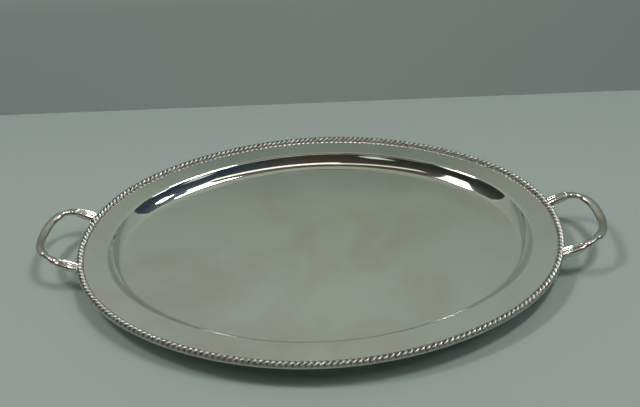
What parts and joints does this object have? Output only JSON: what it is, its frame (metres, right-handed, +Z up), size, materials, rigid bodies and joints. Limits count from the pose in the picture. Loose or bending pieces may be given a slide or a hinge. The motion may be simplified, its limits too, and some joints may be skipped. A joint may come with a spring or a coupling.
{
  "type": "serving tray",
  "caption": "Oval serving tray with a wide flat rim, a shallow well, a rope-pattern raised border and a fixed bow handle at each long end.",
  "frame": {"origin": "middle of the foot ring, on the table", "axes": "+X along the long axis towards the right handle, +Y to the back, +Z up"},
  "size_m": [0.5626, 0.3499, 0.0387],
  "materials": {
    "pan": "mirror-polished silver plate with fine wiping scratches",
    "border": "polished silver plate, darker in the grooves of the rope",
    "handle": "polished cast silver plate, slightly wavy",
    "foot": "silver plate, worn dull on the edge it stands on",
    "solder": "dull, plated over"
  },
  "bodies": {
    "root": {"tray_pan": "pan", "rope_border": "border", "handle_left": "handle", "handle_right": "handle", "solder_left_front": "solder", "solder_left_back": "solder", "solder_right_front": "solder", "solder_right_back": "solder", "border_solder": "solder", "seam_solder": "solder", "foot_ring": "foot", "foot_solder": "solder"}
  },
  "joints": []
}
